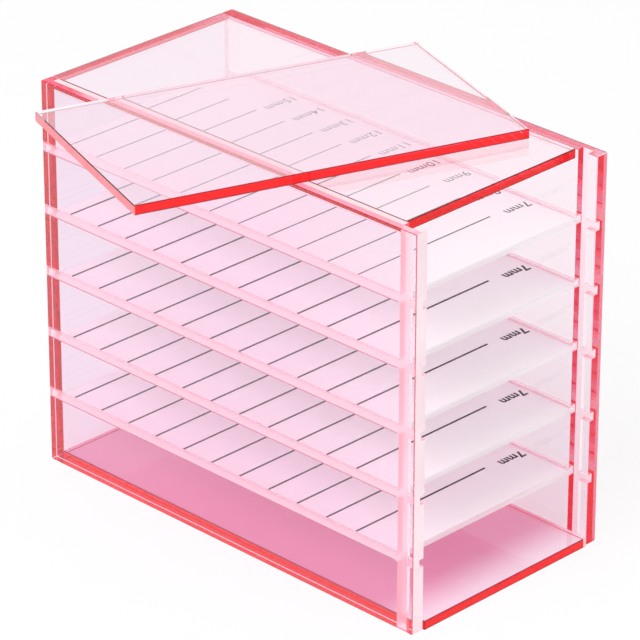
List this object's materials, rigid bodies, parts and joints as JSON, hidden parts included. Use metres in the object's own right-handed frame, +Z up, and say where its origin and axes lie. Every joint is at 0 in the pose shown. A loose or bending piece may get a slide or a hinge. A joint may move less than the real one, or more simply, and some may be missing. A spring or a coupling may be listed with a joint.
{
  "type": "eyelash storage box",
  "caption": "Clear pink acrylic box, open at one end, with labelled lash tiles sliding in milled wall grooves and a loose cover plate on top.",
  "frame": {"origin": "middle of the base, on the surface that the box stands on", "axes": "+Z up, +X out of the open end, +Y towards the right wall as seen from the open end"},
  "size_m": [0.1582, 0.1444, 0.1332],
  "materials": {
    "side_acrylic": "polished clear fluorescent pink",
    "panel_acrylic": "polished clear fluorescent pink",
    "base_acrylic": "polished clear fluorescent pink",
    "cover_acrylic": "polished clear fluorescent pink",
    "tile_acrylic": "polished clear",
    "label_print": "printed white film"
  },
  "bodies": {
    "box": {"left_wall": "side_acrylic", "right_wall": "side_acrylic", "back_wall": "panel_acrylic", "bottom_plate": "base_acrylic", "top_plate": "panel_acrylic"},
    "cover": {"sliding_cover": "cover_acrylic"},
    "tile_1_body": {"tile_1": "tile_acrylic", "tile_label_1": "label_print"},
    "tile_2_body": {"tile_2": "tile_acrylic", "tile_label_2": "label_print"},
    "tile_3_body": {"tile_3": "tile_acrylic", "tile_label_3": "label_print"},
    "tile_4_body": {"tile_4": "tile_acrylic", "tile_label_4": "label_print"},
    "tile_5_body": {"tile_5": "tile_acrylic", "tile_label_5": "label_print"}
  },
  "joints": [
    {"name": "tile_1_slide", "type": "slide", "parent": "box", "child": "tile_1_body", "axis": [1, 0, 0], "range_m": [0, 0.155]},
    {"name": "tile_2_slide", "type": "slide", "parent": "box", "child": "tile_2_body", "axis": [1, 0, 0], "range_m": [0, 0.155]},
    {"name": "tile_3_slide", "type": "slide", "parent": "box", "child": "tile_3_body", "axis": [1, 0, 0], "range_m": [0, 0.155]},
    {"name": "tile_4_slide", "type": "slide", "parent": "box", "child": "tile_4_body", "axis": [1, 0, 0], "range_m": [0, 0.155]},
    {"name": "tile_5_slide", "type": "slide", "parent": "box", "child": "tile_5_body", "axis": [1, 0, 0], "range_m": [0, 0.155]},
    {"name": "cover_lift", "type": "slide", "parent": "box", "child": "cover", "axis": [0, 0, 1], "range_m": [0, 0.06]}
  ]
}
